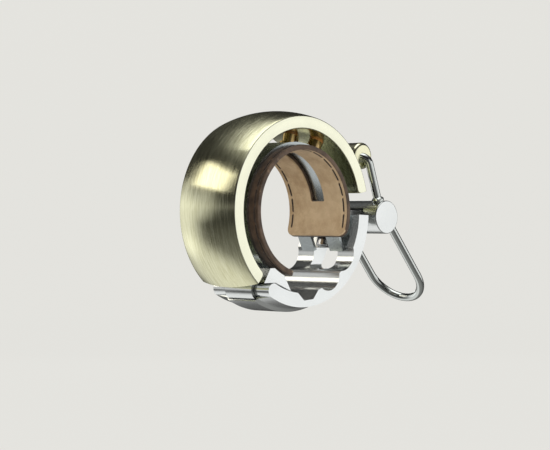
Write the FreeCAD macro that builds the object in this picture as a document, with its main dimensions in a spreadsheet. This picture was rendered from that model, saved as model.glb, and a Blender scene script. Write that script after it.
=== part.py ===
import FreeCAD, Part
import math
import os

import Sketcher
from FreeCAD import Placement, Rotation, Vector

# A bicycle bell that wraps round the handlebar.  A crowned brass C-ring is the resonator.  A
# steel band lined with leather grips the bar, a hinged lower arm closes under it, and a wire
# striker on the arm's tip swings on an axle: its loop is the trigger, its other end the hammer.
#
# Frame: origin on the handlebar's axis at the ring's mid-width, +Y along the handlebar (the
# front face looks towards -Y), +X towards the striker, +Z up.  Angles are in degrees round the
# bar, from +X towards +Z.  Millimetres.

doc = FreeCAD.newDocument("bicycle_bell")
sheet = doc.addObject("Spreadsheet::Sheet", "dims")

DIMENSIONS = {
    "bar_radius": 15.9,            # a 31.8 mm handlebar
    # leather liner
    "liner_thick": 1.3, "liner_width": 21.6, "liner_start": -24.0, "liner_stop": 259.0,
    "liner_corner": 2.4, "slot_width": 5.0, "slot_start": 9.5, "slot_stop": 166.0,
    "slot_corner": 0.5,
    "seam_inset": 1.35, "seam_width": 0.56, "seam_depth": 0.4, "seam_overrun": 5.0, "seam_margin": 7.5,
    "stitch_length": 3.6, "stitch_pitch": 15.4, "stitch_thick": 0.22,
    # clamp band and its flared tail
    "band_thick": 0.8, "band_width": 15.1, "band_start": -22.0, "band_stop": 252.0,
    "tail_lean": 24.0, "tail_length": 4.3, "tail_gap": 5.6,
    # resonator ring
    "ring_inner": 21.4, "ring_edge": 24.7, "ring_crown": 26.25, "ring_width": 20.6,
    "ring_start": 12.5, "ring_stop": 228.0, "ring_corner": 1.0, "ring_soft": 0.25,
    # posts, washers and screws that carry the ring
    "post_radius": 1.9, "post_foot": 2.6, "post_foot_thick": 0.6, "pad_thick": 0.5,
    "mount_screw": 1.0, "mount_head": 1.7, "mount_head_thick": 0.8, "mount_depth": 1.9,
    "post_front_angle": 61.0, "post_mid_angle": 75.0, "post_side": 4.8,
    # lower arm
    "arm_inner": 21.2, "arm_edge": 24.9, "arm_shoulder": 25.5, "arm_rib": 26.3,
    "rib_half": 4.9, "rib_slope": 0.8, "arm_start": -2.5, "arm_soft": 0.2,
    "channel_far": 17.96, "channel_far_angle": -37.8, "channel_far_radius": 4.85,
    "channel_mid": 19.07, "channel_mid_angle": -61.1, "channel_mid_radius": 4.2,
    "notch_floor": 23.1, "notch_angle": -85.5, "notch_half_floor": 1.7, "notch_half_top": 4.1,
    "recess_radius": 22.4, "recess_width": 15.5, "recess_low": -10.0,
    "window_half": 4.4, "window_low": -15.4, "window_corner": 1.3,
    # hinge
    "hinge_angle": 241.5, "hinge_pin": 1.0, "hinge_nose": 1.85, "hinge_knuckle": 2.75,
    "knuckle_half": 4.9, "hinge_gap": 0.14, "run_gap": 0.05,
    # clamp screw, on a line that touches a circle round the bar
    "screw_line": 20.15, "screw_angle": -14.0, "screw_radius": 1.0, "screw_head": 2.2,
    "screw_head_thick": 2.2, "screw_top": 2.3, "head_top": -2.45, "washer_radius": 2.35,
    "washer_thick": 0.4, "socket_radius": 1.15, "socket_depth": 1.3, "head_pocket": 2.6,
    "key_hole": 1.7, "ledge_thick": 2.4, "ledge_half": 3.2, "nut_low": 2.5, "nut_high": 5.3,
    "nut_half": 2.6, "nut_outer": 21.6, "nut_slack": 0.03, "ramp_low": 2.55, "ramp_high": 5.2,
    "ramp_top": 17.5, "ramp_lean": 25.0,
    # striker: barrel on its axle, hammer wire, hammer and trigger loop
    "axle_x": 32.3, "axle_z": -1.6, "barrel_radius": 4.5, "barrel_soft": 0.25,
    "axle_radius": 1.2, "axle_half": 7.4, "eye_radius": 2.6, "eye_half": 3.0,
    "neck_half": 5.1, "neck_thick": 3.8, "chamber_radius": 2.75, "chamber_half": 5.3,
    "stop_thick": 0.7, "stop_gap": 0.16, "plug_radius": 2.2, "plug_thick": 0.5,
    "wire_radius": 1.1, "loop_offset": 1.0, "loop_lean": 39.4, "loop_half": 8.6,
    "loop_reach": 21.7, "loop_root": 0.9, "hammer_wire_y": -8.4, "hammer_wire_lean": 19.0,
    "hammer_wire_root": 2.4, "hammer_wire_reach": 15.2, "elbow_radius": 2.4, "elbow_turn": 20.0,
    "hammer_tip": 2.2, "hammer_x": 26.5, "hammer_z": 15.0, "hammer_radius": 3.6,
    "hammer_front": -7.0, "hammer_length": 10.0, "hammer_round": 0.9,
    # return spring
    "spring_wire": 0.22, "spring_radius": 1.85, "spring_pitch": 0.52, "spring_turns": 3.5,
}

for row, (alias, number) in enumerate(DIMENSIONS.items(), start=1):
    sheet.set("A%d" % row, alias)
    sheet.set("B%d" % row, str(number))
    sheet.setAlias("B%d" % row, alias)
doc.recompute()

ALONG_Y = Rotation(Vector(1, 0, 0), -90)     # turns a primitive's own Z axis to +Y
SECTOR = Rotation(Vector(1, 0, 0), 90)       # own Z axis to -Y, so that angles run +X to +Z


class Size:
    """A number together with the sheet expression that gives it."""

    def __init__(self, number, text):
        self.number, self.text = float(number), text

    def __float__(self):
        return self.number

    def __add__(self, other):
        other = size(other)
        return Size(self.number + other.number, "(%s + %s)" % (self.text, other.text))

    def __sub__(self, other):
        other = size(other)
        return Size(self.number - other.number, "(%s - %s)" % (self.text, other.text))

    def __rsub__(self, other):
        return size(other) - self

    def __mul__(self, other):
        other = size(other)
        return Size(self.number * other.number, "(%s * %s)" % (self.text, other.text))

    def __truediv__(self, other):
        other = size(other)
        return Size(self.number / other.number, "(%s / %s)" % (self.text, other.text))

    def __neg__(self):
        return size(0) - self

    __radd__, __rmul__ = __add__, __mul__


def size(value):
    return value if isinstance(value, Size) else Size(value, repr(float(value)))


def dim(alias):
    return Size(DIMENSIONS[alias], "dims.%s" % alias)


def cos_of(angle):
    return Size(math.cos(math.radians(float(angle))), "cos(%s)" % size(angle).text)


def sin_of(angle):
    return Size(math.sin(math.radians(float(angle))), "sin(%s)" % size(angle).text)


def polar(radius, angle):
    """The (x, z) place at a radius and an angle round the bar."""
    return size(radius) * cos_of(angle), size(radius) * sin_of(angle)


# ---------------------------------------------------------------- shapes bound to the sheet

def bound(kind, name, **sizes):
    item = doc.addObject(kind, name)
    for field, value in sizes.items():
        item.setExpression(field, size(value).text)
    return item


def put(item, x=0, y=0, z=0, turn=Rotation()):
    item.Placement = Placement(Vector(float(x), float(y), float(z)), turn)
    for axis, value in (("x", x), ("y", y), ("z", z)):
        item.setExpression("Placement.Base." + axis, size(value).text)
    return item


def drum(name, radius, length, x=0, z=0, y=0):
    """A cylinder along Y, centred on y."""
    item = bound("Part::Cylinder", name, Radius=radius, Height=length)
    return put(item, x, size(y) - size(length) / 2, z, ALONG_Y)


def block(name, low, high):
    """A box from its low corner to its high corner."""
    spans = [size(b) - size(a) for a, b in zip(low, high)]
    item = bound("Part::Box", name, Length=spans[0], Width=spans[1], Height=spans[2])
    return put(item, *low)


def stud(name, radius, start, stop, angle, y=0):
    """A cylinder that points straight out from the bar, from one radius to another."""
    item = bound("Part::Cylinder", name, Radius=radius, Height=size(stop) - size(start))
    x, z = polar(start, angle)
    return put(item, x, y, z, round_bar(angle) * Rotation(Vector(0, 1, 0), 90))


def round_bar(angle):
    return Rotation(Vector(0, -1, 0), float(angle))


def cut(name, base, *tools):
    for count, tool in enumerate(tools, start=1):
        item = doc.addObject("Part::Cut", "%s_less_%d" % (name, count))
        item.Base, item.Tool = base, tool
        base = item
    return base


def fuse(name, *parts):
    item = doc.addObject("Part::MultiFuse", name + "_joined")
    item.Shapes = list(parts)
    item.Refine = True
    return item


def common(name, one, other):
    item = doc.addObject("Part::Common", name + "_shared")
    item.Base, item.Tool = one, other
    return item


def tube_sector(name, inner, outer, width, start, stop):
    """A strip bent round the bar, from one angle to another."""
    turned = bound("Part::Cylinder", name + "_outside", Radius=outer, Height=width,
                   Angle=size(stop) - size(start))
    put(turned, 0, size(width) / 2, 0, round_bar(start) * SECTOR)
    bore = bound("Part::Cylinder", name + "_inside", Radius=inner, Height=size(width) + 2)
    middle_of_gap = (float(start) + float(stop)) / 2 + 180
    put(bore, 0, size(width) / 2 + 1, 0, round_bar(middle_of_gap) * SECTOR)
    return cut(name, turned, bore)


def origin_plane(body, role):
    return [item for item in body.Origin.OriginFeatures if item.Role == role][0]


def outline(body, role, name, corners, arcs=()):
    """A closed sketch through corners, each tied to the sheet.

    arcs gives {corner number: (radius, side)} for a bulging edge that starts at that corner;
    side is +1 where the edge bulges to the right of its own direction, else -1.
    """
    sketch = body.newObject("Sketcher::SketchObject", name)
    sketch.AttachmentSupport = (origin_plane(body, role), [""])
    sketch.MapMode = "FlatFace"
    arcs = dict(arcs)
    points = [Vector(float(u), float(v), 0) for u, v in corners]
    starts = []
    for index, here in enumerate(points):
        there = points[(index + 1) % len(points)]
        if index in arcs:
            radius, side = arcs[index]
            edge, backwards = bulge(here, there, float(radius), side)
        else:
            edge, backwards = Part.LineSegment(here, there), False
        sketch.addGeometry(edge, False)
        starts.append((1, 2) if not backwards else (2, 1))
    for index in range(len(points)):
        after = (index + 1) % len(points)
        sketch.addConstraint(Sketcher.Constraint("Coincident", index, starts[index][1],
                                                 after, starts[after][0]))
    for index, (u, v) in enumerate(corners):
        tie(sketch, "DistanceX", index, starts[index][0], u)
        tie(sketch, "DistanceY", index, starts[index][0], v)
    for index, (radius, side) in arcs.items():
        number = sketch.addConstraint(Sketcher.Constraint("Radius", index, float(radius)))
        sketch.setExpression("Constraints[%d]" % number, size(radius).text)
    return sketch


def tie(sketch, kind, edge, end, value):
    """Hold one end of an edge at a distance from the sketch's origin."""
    number = sketch.addConstraint(Sketcher.Constraint(kind, -1, 1, edge, end, float(value)))
    sketch.setExpression("Constraints[%d]" % number, size(value).text)


def bulge(here, there, radius, side):
    """A circular arc between two points, bulging to one side of the line that joins them."""
    middle, chord = (here + there) / 2, there - here
    across = Vector(chord.y, -chord.x, 0).normalize() * side
    rise = radius - math.sqrt(radius * radius - chord.Length * chord.Length / 4)
    arc = Part.Arc(here, middle + across * rise, there)
    return arc, side < 0


def padded(name, corners, width, arcs=()):
    """A body whose outline in (x, z) is drawn on the front plane, centred on y = 0."""
    body = doc.addObject("PartDesign::Body", name + "_body")
    sketch = outline(body, "XZ_Plane", name + "_outline", corners, arcs)
    pad = body.newObject("PartDesign::Pad", name + "_pad")
    pad.Profile = sketch
    pad.setExpression("Length", size(width).text)
    pad.Midplane = True
    return body


def revolved(name, corners, sweep, start, arcs=()):
    """A body whose section in (radius, y) is swept round the bar from a starting angle."""
    body = doc.addObject("PartDesign::Body", name + "_body")
    sketch = outline(body, "XY_Plane", name + "_section", corners, arcs)
    turn = body.newObject("PartDesign::Revolution", name + "_turn")
    turn.Profile = sketch
    turn.ReferenceAxis = (sketch, ["V_Axis"])
    turn.setExpression("Angle", size(sweep).text)
    turn.Reversed = True
    body.Placement = Placement(Vector(), round_bar(start))
    return body


def soften(body, name, radius, chosen):
    """Round the edges of a body's tip that the test picks."""
    doc.recompute()
    tip = body.Tip
    names = ["Edge%d" % number for number, edge in enumerate(tip.Shape.Edges, start=1)
             if chosen(edge)]
    item = body.newObject("PartDesign::Fillet", name)
    item.Base = (tip, names)
    item.setExpression("Radius", size(radius).text)
    return body


def soften_part(name, base, radius, chosen):
    """Round the edges of a boolean result that the test picks."""
    doc.recompute()
    item = doc.addObject("Part::Fillet", name + "_softened")
    item.Base = base
    item.Edges = [(number, float(radius), float(radius))
                  for number, edge in enumerate(base.Shape.Edges, start=1) if chosen(edge)]
    return item


nodes = {}


def node(name, item):
    item.Label = name
    nodes[name] = item
    return item


# ---------------------------------------------------------------- measures used in many pieces

band_inner = dim("bar_radius") + dim("liner_thick")
band_outer = band_inner + dim("band_thick")
half_width = dim("ring_width") / 2
hinge_reach = (dim("arm_inner") + dim("arm_edge")) / 2
hinge_x, hinge_z = polar(hinge_reach, dim("hinge_angle"))
POSTS = ((dim("post_mid_angle"), size(0)),
         (dim("post_front_angle"), -dim("post_side")),
         (dim("post_front_angle"), dim("post_side")))


def is_round_bar(edge, tolerance=1e-3):
    """True for an edge that runs round the handlebar's axis."""
    curve = edge.Curve
    return isinstance(curve, Part.Circle) and abs(abs(curve.Axis.y) - 1) < tolerance


def runs_along_y(edge):
    first, last = edge.Vertexes[0].Point, edge.Vertexes[-1].Point
    return abs(first.x - last.x) + abs(first.z - last.z) < 1e-6 and abs(first.y - last.y) > 1


# ---------------------------------------------------------------- resonator ring

def crown_radius(low, high, half):
    """Radius of the arc that rises from low to high over a half-width."""
    rise = high - low
    return (half * half + rise * rise) / (rise * 2)


def make_ring():
    section = [(dim("ring_inner"), -half_width), (dim("ring_edge"), -half_width),
               (dim("ring_edge"), half_width), (dim("ring_inner"), half_width)]
    crown = crown_radius(dim("ring_edge"), dim("ring_crown"), half_width)
    body = revolved("ring", section, dim("ring_stop") - dim("ring_start"), dim("ring_start"),
                    {1: (crown, 1)})
    inner = float(dim("ring_inner"))
    soften(body, "ring_end_corners", dim("ring_corner"), lambda edge: runs_along_y(edge)
           and math.hypot(edge.Vertexes[0].X, edge.Vertexes[0].Z) < inner + 0.1)
    soften(body, "ring_rims", dim("ring_soft"), is_round_bar)
    holes = [stud("ring_hole_%d" % count, dim("mount_screw"), dim("ring_inner") - 1,
                  dim("ring_inner") + dim("mount_depth"), angle, y)
             for count, (angle, y) in enumerate(POSTS)]
    node("resonator_ring", cut("ring", body, *holes))


# ---------------------------------------------------------------- posts that carry the ring

def make_posts():
    posts, pads, screws = [], [], []
    pad_start = dim("ring_inner") - dim("pad_thick")
    for count, (angle, y) in enumerate(POSTS):
        foot = stud("post_foot_%d" % count, dim("post_foot"), band_outer - 0.5,
                    band_outer + dim("post_foot_thick"), angle, y)
        stem = stud("post_stem_%d" % count, dim("post_radius"), band_outer - 0.5, pad_start,
                    angle, y)
        bore = stud("post_bore_%d" % count, dim("mount_screw"), band_inner,
                    dim("ring_inner") + 1, angle, y)
        seat = drum("post_seat_%d" % count, band_outer, dim("ring_width"))
        posts.append(cut("post_%d" % count, fuse("post_%d" % count, foot, stem), seat, bore))

        disc = stud("pad_disc_%d" % count, dim("post_radius"), pad_start,
                    dim("ring_inner") + 1, angle, y)
        under_ring = drum("pad_limit_%d" % count, dim("ring_inner"), dim("ring_width"))
        pads.append(cut("pad_%d" % count, common("pad_%d" % count, disc, under_ring), bore))

        head = stud("mount_head_%d" % count, dim("mount_head"),
                    band_inner - dim("mount_head_thick"), band_inner + 0.5, angle, y)
        inside = drum("mount_limit_%d" % count, band_inner, dim("ring_width"))
        shank = stud("mount_shank_%d" % count, dim("mount_screw"), band_inner - 0.3,
                     dim("ring_inner") + dim("mount_depth"), angle, y)
        socket = stud("mount_socket_%d" % count, dim("mount_screw") * 0.55,
                      band_inner - 2, band_inner - 0.3, angle, y)
        screws.append(cut("mount_screw_%d" % count,
                          fuse("mount_screw_%d" % count,
                               common("mount_head_%d" % count, head, inside), shank), socket))
    for name, items in (("resonator_posts", posts), ("damping_pads", pads),
                        ("resonator_screws", screws)):
        group = doc.addObject("Part::Compound", name + "_group")
        group.Links = items
        node(name, group)


# ---------------------------------------------------------------- clamp band

def make_band():
    strip = tube_sector("band", band_inner, band_outer, dim("band_width"),
                        dim("band_start"), dim("band_stop"))
    middle = (band_inner + band_outer) / 2
    knee_x, knee_z = polar(middle, dim("band_start"))
    knee = drum("band_knee", dim("band_thick") / 2, dim("band_width"), knee_x, knee_z)
    tail = bound("Part::Box", "band_tail", Length=dim("band_thick"), Width=dim("band_width"),
                 Height=dim("tail_length"))
    tail.Placement = Placement(
        Vector(float(knee_x), -float(dim("band_width")) / 2, float(knee_z)),
        Rotation(Vector(0, 1, 0), 180 - float(dim("tail_lean")))
    ) * Placement(Vector(-float(dim("band_thick")) / 2, 0, 0), Rotation())
    gap = block("tail_gap", (10, -dim("tail_gap") / 2, -20), (25, dim("tail_gap") / 2, -5.6))
    holes = [stud("band_hole_%d" % count, dim("mount_screw"), band_inner - 2, band_outer + 2,
                  angle, y) for count, (angle, y) in enumerate(POSTS)]
    holes += [rivet("band_rivet_hole_%d" % count, side) for count, side in enumerate((-1, 1))]
    node("clamp_band", cut("band_done", fuse("band", strip, knee, tail), gap, *holes))


def rivet(name, side):
    """One of the two rivets that hold the band to the hinge bracket."""
    return stud(name, 0.9, band_inner, band_outer + 1.6, dim("hinge_angle") - 2, size(5.6) * side)


def make_rivets():
    group = doc.addObject("Part::Compound", "bracket_rivets_group")
    group.Links = [rivet("bracket_rivet_%d" % count, side) for count, side in enumerate((-1, 1))]
    node("bracket_rivets", group)


# ---------------------------------------------------------------- leather liner and its seams

def make_liner():
    strip = tube_sector("liner", dim("bar_radius"), band_inner, dim("liner_width"),
                        dim("liner_start"), dim("liner_stop"))
    slot = tube_sector("liner_slot", dim("bar_radius") - 2, band_inner + 2, dim("slot_width"),
                       dim("slot_start"), dim("slot_stop"))
    half = float(dim("liner_width")) / 2
    cornered = soften_part("liner", strip, dim("liner_corner"), lambda edge: short_radial(edge)
                           and abs(abs(edge.Vertexes[0].Y) - half) < 1e-3)
    seams = [seam_groove("groove_%d" % count, side) for count, side in enumerate((-1, 1))]
    heads = [stud("liner_pocket_%d" % count, dim("mount_head") + 0.2,
                  band_inner - dim("mount_head_thick") - 0.05, band_inner + 1, angle, y)
             for count, (angle, y) in enumerate(POSTS[1:])]
    node("leather_liner", cut("liner_done", cornered, slot, *seams, *heads))


def short_radial(edge):
    first, last = edge.Vertexes[0].Point, edge.Vertexes[-1].Point
    radii = [math.hypot(point.x, point.z) for point in (first, last)]
    return abs(first.y - last.y) < 1e-6 and abs(abs(radii[0] - radii[1])
                                               - float(dim("liner_thick"))) < 1e-3


def seam_groove(name, side):
    """A stitching groove that runs out at both ends of the liner."""
    groove = tube_sector(name, dim("bar_radius") - 1, dim("bar_radius") + dim("seam_depth"),
                         dim("seam_width"), dim("liner_start") - dim("seam_overrun"),
                         dim("liner_stop") + dim("seam_overrun"))
    groove.Placement.Base.y = side * seam_place()
    return groove


def seam_place():
    return float(dim("liner_width") / 2 - dim("seam_inset"))


def make_stitches():
    first = float(dim("liner_start") + dim("seam_margin")) + 7
    last = float(dim("liner_stop") - dim("seam_margin")) - 6
    count = int((last - first) / float(dim("stitch_pitch"))) + 1
    for name, side in (("front_stitching", -1), ("rear_stitching", 1)):
        row = []
        for number in range(count):
            angle = first + number * float(dim("stitch_pitch"))
            stitch = bound("Part::Box", "%s_%d" % (name, number), Length=dim("stitch_thick"),
                           Width=dim("seam_width") - 0.12, Height=dim("stitch_length"))
            stitch.Placement = Placement(Vector(), round_bar(angle)) * Placement(
                Vector(float(dim("bar_radius")) + 0.03,
                       side * seam_place() - float(dim("seam_width")) / 2 + 0.06,
                       -float(dim("stitch_length")) / 2), Rotation())
            row.append(stitch)
        group = doc.addObject("Part::Compound", name + "_group")
        group.Links = row
        node(name, group)


# ---------------------------------------------------------------- hinge bracket and hinge pin

def make_bracket():
    under = dim("arm_inner") - dim("hinge_gap")
    low = hinge_z + dim("hinge_nose") + dim("hinge_gap")
    corners = [polar(19.0, 230.1), (size(-14.4), low), (size(-10.4), low), polar(under, 256.8),
               polar(band_outer, 246.5), polar(band_outer, 233.9)]
    body = padded("bracket", corners, dim("ring_width"),
                  {4: (band_outer, -1)})
    limit = drum("bracket_limit", under, dim("ring_width") + 2)
    corner = block("bracket_corner", (-18, -half_width - 1, -19.5), (-10.4, half_width + 1, -12))
    shape = common("bracket", body, fuse("bracket_limits", limit, corner))
    nose = drum("bracket_nose", dim("hinge_nose") + dim("hinge_gap"), dim("ring_width") + 2,
                hinge_x, hinge_z)
    knuckle = drum("bracket_knuckle", dim("hinge_knuckle"), dim("knuckle_half") * 2,
                   hinge_x, hinge_z)
    bore = drum("bracket_bore", dim("hinge_pin"), dim("ring_width") + 2, hinge_x, hinge_z)
    rivets = [rivet("bracket_rivet_hole_%d" % count, side)
              for count, side in enumerate((-1, 1))]
    joined = fuse("bracket", cut("bracket_noses", shape, nose), knuckle)
    node("hinge_bracket", cut("bracket_done", joined, bore, *rivets))


def make_hinge_pin():
    front, rear = -float(half_width) + 1.0, float(half_width) - 0.1
    node("hinge_pin", drum("hinge_pin_rod", dim("hinge_pin"), rear - front, hinge_x, hinge_z,
                           (rear + front) / 2))


# ---------------------------------------------------------------- clamp screw and its nut

def screw_frame():
    """Own Z axis up the clamp screw, own X axis straight out, on the line's nearest point."""
    x, z = polar(dim("screw_line"), dim("screw_angle"))
    return Placement(Vector(float(x), 0, float(z)), round_bar(dim("screw_angle")))


def on_screw(item, out=0.0, side=0.0, up=0.0):
    item.Placement = screw_frame() * Placement(Vector(float(out), float(side), float(up)),
                                               Rotation())
    return item


def screw_rod(name, radius, low, high):
    item = bound("Part::Cylinder", name, Radius=radius, Height=size(high) - size(low))
    return on_screw(item, up=low)


def screw_block(name, inner, outer, half, low, high):
    """A block beside the clamp screw; inner and outer are distances from the bar's axis."""
    item = bound("Part::Box", name, Length=size(outer) - size(inner), Width=size(half) * 2,
                 Height=size(high) - size(low))
    return on_screw(item, size(inner) - dim("screw_line"), -size(half), low)


def make_screw():
    bearing = dim("head_top")
    shank = screw_rod("screw_shank", dim("screw_radius"), bearing, dim("screw_top"))
    head = screw_rod("screw_head", dim("screw_head"), bearing - dim("screw_head_thick"), bearing)
    dome = bound("Part::Sphere", "screw_dome", Radius=dim("screw_head") * 1.55)
    on_screw(dome, up=bearing - dim("screw_head_thick") * 0.16)
    hexagon = bound("Part::Prism", "screw_socket", Circumradius=dim("socket_radius"),
                    Height=dim("socket_depth") + 1)
    hexagon.Polygon = 6
    on_screw(hexagon, up=bearing - dim("screw_head_thick") * 1.45)
    screw = fuse("screw", shank, common("screw_head", head, dome))
    node("clamp_screw", cut("screw_done", screw, hexagon))

    ring = screw_rod("washer_disc", dim("washer_radius"), bearing, bearing + dim("washer_thick"))
    hole = screw_rod("washer_hole", dim("screw_radius"), bearing - 1, bearing + 2)
    node("screw_washer", cut("washer", ring, hole))


def beyond_ramp(name, slack):
    """Everything on the outer side of the band's ramp, moved out by a slack."""
    item = bound("Part::Box", name, Length=12, Width=16, Height=24)
    corner = Vector(float(dim("ramp_top") - dim("screw_line")), 0, float(dim("nut_high")))
    item.Placement = screw_frame() * Placement(
        corner, Rotation(Vector(0, 1, 0), -float(dim("ramp_lean")))
    ) * Placement(Vector(float(slack), -8, -12), Rotation())
    return item


def make_nut():
    """The nut is drawn down a ramp on the band, which pulls the band tight and pins its end."""
    blank = screw_block("nut_blank", 17.0, dim("nut_outer"), dim("nut_half"), dim("nut_low"),
                        dim("nut_high"))
    shape = common("nut", blank, beyond_ramp("nut_ramp", dim("nut_slack")))
    hole = screw_rod("nut_thread", dim("screw_radius") + 0.06, dim("nut_low") - 1,
                     dim("nut_high") + 1)
    seat = drum("nut_seat", band_outer + dim("nut_slack"), dim("ring_width"))
    node("clamp_nut", cut("nut", shape, seat, hole))

    wedge = screw_block("ramp_blank", 16.5, 19.5, dim("nut_half"), dim("ramp_low"),
                        dim("ramp_high"))
    under = drum("ramp_seat", band_outer, dim("ring_width"))
    node("band_ramp", cut("ramp", wedge, under, beyond_ramp("ramp_face", 0)))


# ---------------------------------------------------------------- lower arm

def make_arm():
    shell = arm_shell()
    arm = cut("arm_channels", shell, *cable_channels())
    recess = common("arm_recess", drum("recess_round", dim("recess_radius"),
                                       dim("recess_width")),
                    block("recess_box", (5, -20, dim("recess_low")), (30, 20, 10)))
    arm = cut("arm_hollows", arm, recess, arm_window())
    additions = fuse("arm", arm, *arm_noses(), arm_ledge(), *striker_neck())
    node("lower_arm", cut("arm_done", additions, *arm_clearances()))


def arm_shell():
    half, rib, slope = half_width, dim("rib_half"), dim("rib_slope")
    section = [(dim("arm_inner"), -half), (dim("arm_edge"), -half),
               (dim("arm_shoulder"), -rib - slope), (dim("arm_rib"), -rib),
               (dim("arm_rib"), rib), (dim("arm_shoulder"), rib + slope),
               (dim("arm_edge"), half), (dim("arm_inner"), half)]
    stop = dim("hinge_angle") - 360
    return revolved("arm", section, dim("arm_start") - stop, stop)


def cable_channels():
    far_x, far_z = polar(dim("channel_far"), dim("channel_far_angle"))
    mid_x, mid_z = polar(dim("channel_mid"), dim("channel_mid_angle"))
    length = dim("ring_width") + 2
    far = drum("channel_far_cut", dim("channel_far_radius"), length, far_x, far_z)
    mid = drum("channel_mid_cut", dim("channel_mid_radius"), length, mid_x, mid_z)
    top, floor = dim("arm_inner") - 0.6, dim("notch_floor")
    corners = [(top, -dim("notch_half_top")), (floor, -dim("notch_half_floor")),
               (floor, dim("notch_half_floor")), (top, dim("notch_half_top"))]
    notch = padded("notch", corners, length)
    notch.Placement = Placement(Vector(), round_bar(dim("notch_angle")))
    return far, mid, notch


def arm_window():
    """The opening behind the far channel, with rounded corners."""
    body = doc.addObject("PartDesign::Body", "window_body")
    half, low, high = dim("window_half"), dim("window_low"), dim("recess_low") + 0.1
    sketch = outline(body, "YZ_Plane", "window_outline",
                     [(-half, low), (half, low), (half, high), (-half, high)])
    pad = body.newObject("PartDesign::Pad", "window_pad")
    pad.Profile = sketch
    pad.Length = 30
    return soften(body, "window_corners", dim("window_corner"), lambda edge:
                  abs(edge.Vertexes[0].Y - edge.Vertexes[-1].Y) < 1e-6
                  and abs(edge.Vertexes[0].Z - edge.Vertexes[-1].Z) < 1e-6
                  and edge.Vertexes[0].Z < float(low) + 1)


def arm_noses():
    """The arm's two rounded hinge knuckles, one each side of the bracket's knuckle."""
    inside = dim("knuckle_half") + 0.15
    width = half_width - inside
    return [drum("arm_nose_%d" % count, dim("hinge_nose"), width, hinge_x, hinge_z,
                 (inside + width / 2) * side) for count, side in enumerate((-1, 1))]


def arm_ledge():
    """The ledge that the clamp screw passes through."""
    block_ = screw_block("ledge_block", 17.5, 23.2, dim("ledge_half"), 0, dim("ledge_thick"))
    return cut("ledge", block_, drum("ledge_clear", band_outer + 0.35, dim("ring_width")))


def striker_neck():
    """The neck that reaches out from the arm's tip, and the eye that holds the axle."""
    low = dim("axle_z") - dim("neck_thick") / 2
    high = dim("axle_z") + dim("neck_thick") / 2
    neck = block("neck_block", (22.8, -dim("neck_half"), low),
                 (dim("axle_x") - dim("eye_radius") * 0.8, dim("neck_half"), high))
    bridge = block("eye_bridge", (28, -dim("eye_half"), low), (dim("axle_x"), dim("eye_half"),
                                                              high))
    eye = drum("eye_round", dim("eye_radius"), dim("eye_half") * 2, dim("axle_x"), dim("axle_z"))
    room = drum("neck_room", dim("chamber_radius"), 40, dim("axle_x"), dim("axle_z"))
    return cut("neck", neck, room), bridge, eye


def stop_block(name, slack):
    """The strip on the neck's top that the barrel's lip rests against."""
    top = dim("axle_z") + dim("neck_thick") / 2 + 0.35
    return block(name, (26.9, -4.6 - slack, top - dim("stop_thick")), (28.9, 4.6 + slack, top))


def arm_clearances():
    length = dim("ring_width") + 2
    slot = drum("knuckle_slot", dim("hinge_knuckle") + dim("hinge_gap"),
                dim("knuckle_half") * 2 + 0.3, hinge_x, hinge_z)
    rear_bore = drum("arm_bore", dim("hinge_pin") + dim("run_gap"), length - 2, hinge_x, hinge_z,
                     1.0)
    hole = screw_rod("ledge_hole", dim("screw_radius") + dim("run_gap"), -1, 4)
    pocket = screw_rod("head_pocket_cut", dim("head_pocket"), -8, 0)
    key = screw_rod("key_hole_cut", dim("key_hole"), -25, -7)
    axle = drum("eye_bore", dim("axle_radius"), 20, dim("axle_x"), dim("axle_z"))
    return slot, rear_bore, hole, pocket, key, axle, stop_block("stop_seat", 0.0)


# ---------------------------------------------------------------- striker

def make_axle():
    node("striker_axle", drum("axle_rod", dim("axle_radius"), dim("axle_half") * 2,
                              dim("axle_x"), dim("axle_z")))
    node("striker_stop", stop_block("stop_strip", -0.05))


def make_barrel():
    body = doc.addObject("PartDesign::Body", "barrel_body")
    sketch = body.newObject("Sketcher::SketchObject", "barrel_circle")
    sketch.AttachmentSupport = (origin_plane(body, "XZ_Plane"), [""])
    sketch.MapMode = "FlatFace"
    sketch.addGeometry(Part.Circle(Vector(), Vector(0, 0, 1), 4.5), False)
    sketch.addConstraint(Sketcher.Constraint("Coincident", 0, 3, -1, 1))
    number = sketch.addConstraint(Sketcher.Constraint("Radius", 0, 4.5))
    sketch.setExpression("Constraints[%d]" % number, dim("barrel_radius").text)
    pad = body.newObject("PartDesign::Pad", "barrel_pad")
    pad.Profile = sketch
    pad.setExpression("Length", dim("ring_width").text)
    pad.Midplane = True
    soften(body, "barrel_rims", dim("barrel_soft"), lambda edge: is_round_bar(edge))
    put(body, dim("axle_x"), 0, dim("axle_z"))

    x, z = dim("axle_x"), dim("axle_z")
    chamber = drum("barrel_chamber", dim("chamber_radius"), dim("chamber_half") * 2, x, z)
    lip = z + dim("neck_thick") / 2 + 0.35 + dim("stop_gap")
    mouth = block("barrel_mouth", (x - 8, -dim("chamber_half"), z - 8),
                  (x, dim("chamber_half"), lip))
    reach = dim("axle_half") + 0.05
    bore = drum("barrel_bore", dim("axle_radius") + dim("run_gap"), reach + half_width + 1, x, z,
                (half_width + 1 - reach) / 2)
    plug_hole = drum("plug_hole", dim("plug_radius"), 2, x, z,
                     half_width - dim("plug_thick") + 1)
    node("striker_barrel", cut("barrel", body, chamber, mouth, bore, plug_hole,
                               loop_shape("loop_hole"), hammer_wire("wire_hole")))
    node("barrel_plug", drum("plug_disc", dim("plug_radius"), dim("plug_thick"), x, z,
                             half_width - dim("plug_thick") / 2))


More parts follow.
